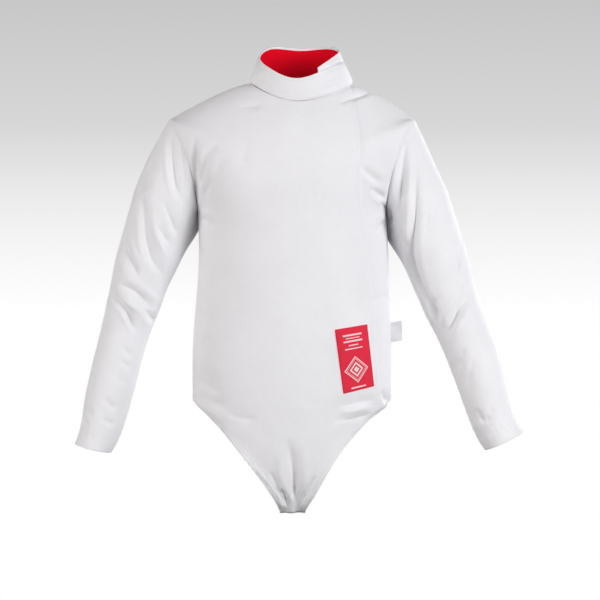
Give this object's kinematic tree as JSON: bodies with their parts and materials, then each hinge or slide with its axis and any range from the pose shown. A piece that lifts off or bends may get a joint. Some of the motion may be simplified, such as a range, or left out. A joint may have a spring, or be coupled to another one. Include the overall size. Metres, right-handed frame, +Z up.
{
  "type": "fencing jacket",
  "caption": "Junior's white fencing jacket, filled out as worn, with long sleeves, a high lapped collar lined in red, a front lapping at the left and a strap between the legs.",
  "frame": {"origin": "the middle of the neck's base, where the jacket hangs on the wearer's shoulders", "axes": "+Z up, -Y the way that the front faces, +X the wearer's left"},
  "size_m": [0.663, 0.2071, 0.7013],
  "materials": {
    "white_cloth": "fine dense white cloth with a faint sheen",
    "red_lining": "matt red lining",
    "red_patch": "woven red patch with pale marks",
    "white_tape": "smooth white woven tape"
  },
  "bodies": {
    "root": {"front_panel": "white_cloth", "left_front_panel": "white_cloth", "back_panel": "white_cloth", "right_sleeve": "white_cloth", "right_under_sleeve": "white_cloth", "left_sleeve": "white_cloth", "left_under_sleeve": "white_cloth", "collar": "white_cloth", "collar_lining": "red_lining", "crotch_strap": "white_cloth", "hip_label": "red_patch", "side_label": "white_tape"}
  },
  "joints": []
}
